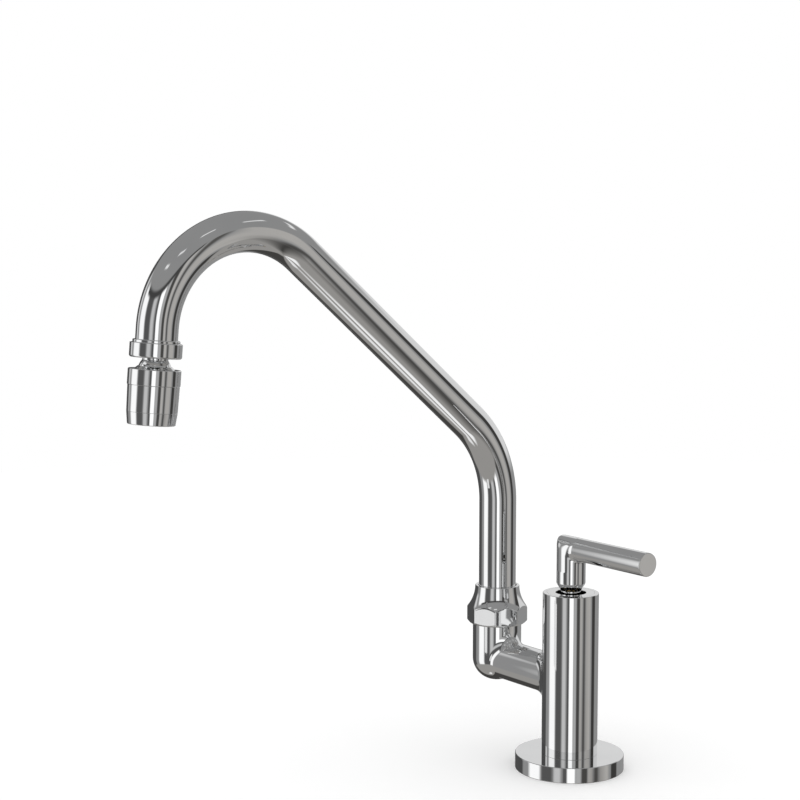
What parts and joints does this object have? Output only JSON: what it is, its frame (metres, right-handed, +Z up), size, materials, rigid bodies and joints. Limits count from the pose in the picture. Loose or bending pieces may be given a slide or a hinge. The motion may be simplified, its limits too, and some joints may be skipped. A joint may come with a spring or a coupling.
{
  "type": "gooseneck bar faucet",
  "caption": "Deck-mounted chrome bar faucet: upright valve body, quarter-turn lever, side arm, hooked swivel spout and ball-jointed aerator.",
  "frame": {"origin": "on the deck surface, at the centre of the base flange's underside, on the valve body's axis", "axes": "+Z up along the valve body; the lever points along +X and the spout reaches out along -Y at rest, and the side arm runs along -X"},
  "size_m": [0.1327, 0.2497, 0.3467],
  "materials": {
    "chrome_plate": "polished chrome plate",
    "brass": "machined brass",
    "steel": "stainless steel, fine turned",
    "seal_rubber": "moulded black rubber",
    "white_ceramic": "lapped alumina ceramic",
    "grey_ceramic": "lapped alumina ceramic",
    "nylon": "moulded nylon"
  },
  "bodies": {
    "base": {"base_flange": "chrome_plate", "base_seal": "seal_rubber", "valve_body": "chrome_plate", "top_cover": "chrome_plate", "inlet_shank": "brass", "shank_seal": "seal_rubber", "deck_gasket": "seal_rubber", "clamp_washer": "steel", "lock_nut": "brass", "cartridge_body": "brass", "bonnet_gasket": "seal_rubber", "seat_seal": "seal_rubber", "fixed_disc": "white_ceramic", "coupling_nut": "chrome_plate", "swivel_bush": "nylon"},
    "handle": {"handle_stem": "chrome_plate", "lever_bar": "chrome_plate", "grub_screw": "steel", "spindle": "brass", "spindle_o_rings": "seal_rubber", "spindle_clip": "steel", "moving_disc": "grey_ceramic"},
    "spout": {"spout_tube": "chrome_plate", "swivel_nipple": "brass", "swivel_o_rings": "seal_rubber", "retaining_ring": "nylon", "spout_collar": "chrome_plate"},
    "ball": {"ball_stud": "chrome_plate", "stud_washer": "brass", "stud_o_ring": "seal_rubber"},
    "aerator": {"aerator_cap": "chrome_plate", "ball_seat": "nylon", "aerator_shell": "chrome_plate", "aerator_washer": "seal_rubber", "aerator_insert": "nylon", "aerator_screen": "steel", "nozzle_ring": "chrome_plate"}
  },
  "joints": [
    {"name": "handle_turn", "type": "hinge", "parent": "base", "child": "handle", "pos_m": [0, 0, 0.116], "axis": [0, 0, 1], "range_deg": [0, 90]},
    {"name": "spout_swivel", "type": "hinge", "parent": "base", "child": "spout", "pos_m": [-0.06, 0, 0.08], "axis": [0, 0, 1], "continuous": true},
    {"name": "aerator_spin", "type": "hinge", "parent": "spout", "child": "ball", "pos_m": [-0.06, -0.20789, 0.21387], "axis": [0, -0.0872, -0.9962], "continuous": true},
    {"name": "aerator_tilt", "type": "hinge", "parent": "ball", "child": "aerator", "pos_m": [-0.06, -0.20789, 0.21387], "axis": [1, 0, 0], "range_deg": [-20, 20]}
  ]
}
